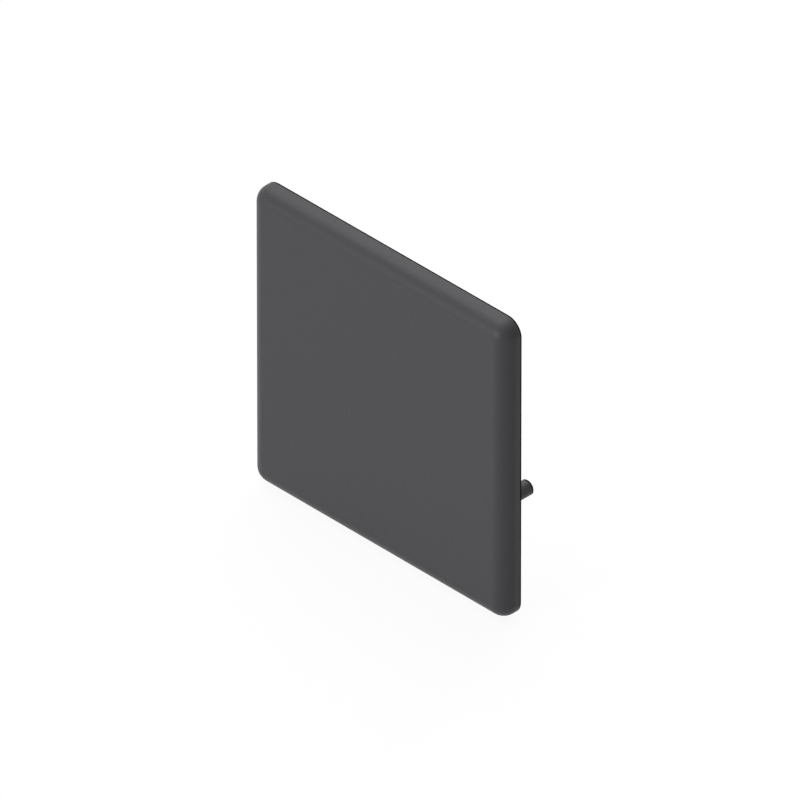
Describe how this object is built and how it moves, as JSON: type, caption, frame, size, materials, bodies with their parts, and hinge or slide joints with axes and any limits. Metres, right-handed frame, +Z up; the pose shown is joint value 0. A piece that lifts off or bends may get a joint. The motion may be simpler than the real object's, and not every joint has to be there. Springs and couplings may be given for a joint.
{
  "type": "profile end cap",
  "caption": "Square push-in plastic end cap that closes the cut end of a T-slot profile, with a rounded front, a cored back and thin locating pins.",
  "frame": {"origin": "middle of the seat, the flat plane of the rim and ribs that lies against the profile's cut end", "axes": "+X to the cap's right seen from its visible front, +Y from the visible front through the seat and along the pins into the profile, +Z up"},
  "size_m": [0.045, 0.01, 0.045],
  "materials": {
    "cap": "matte"
  },
  "bodies": {
    "root": {"end_cap": "cap"}
  },
  "joints": []
}
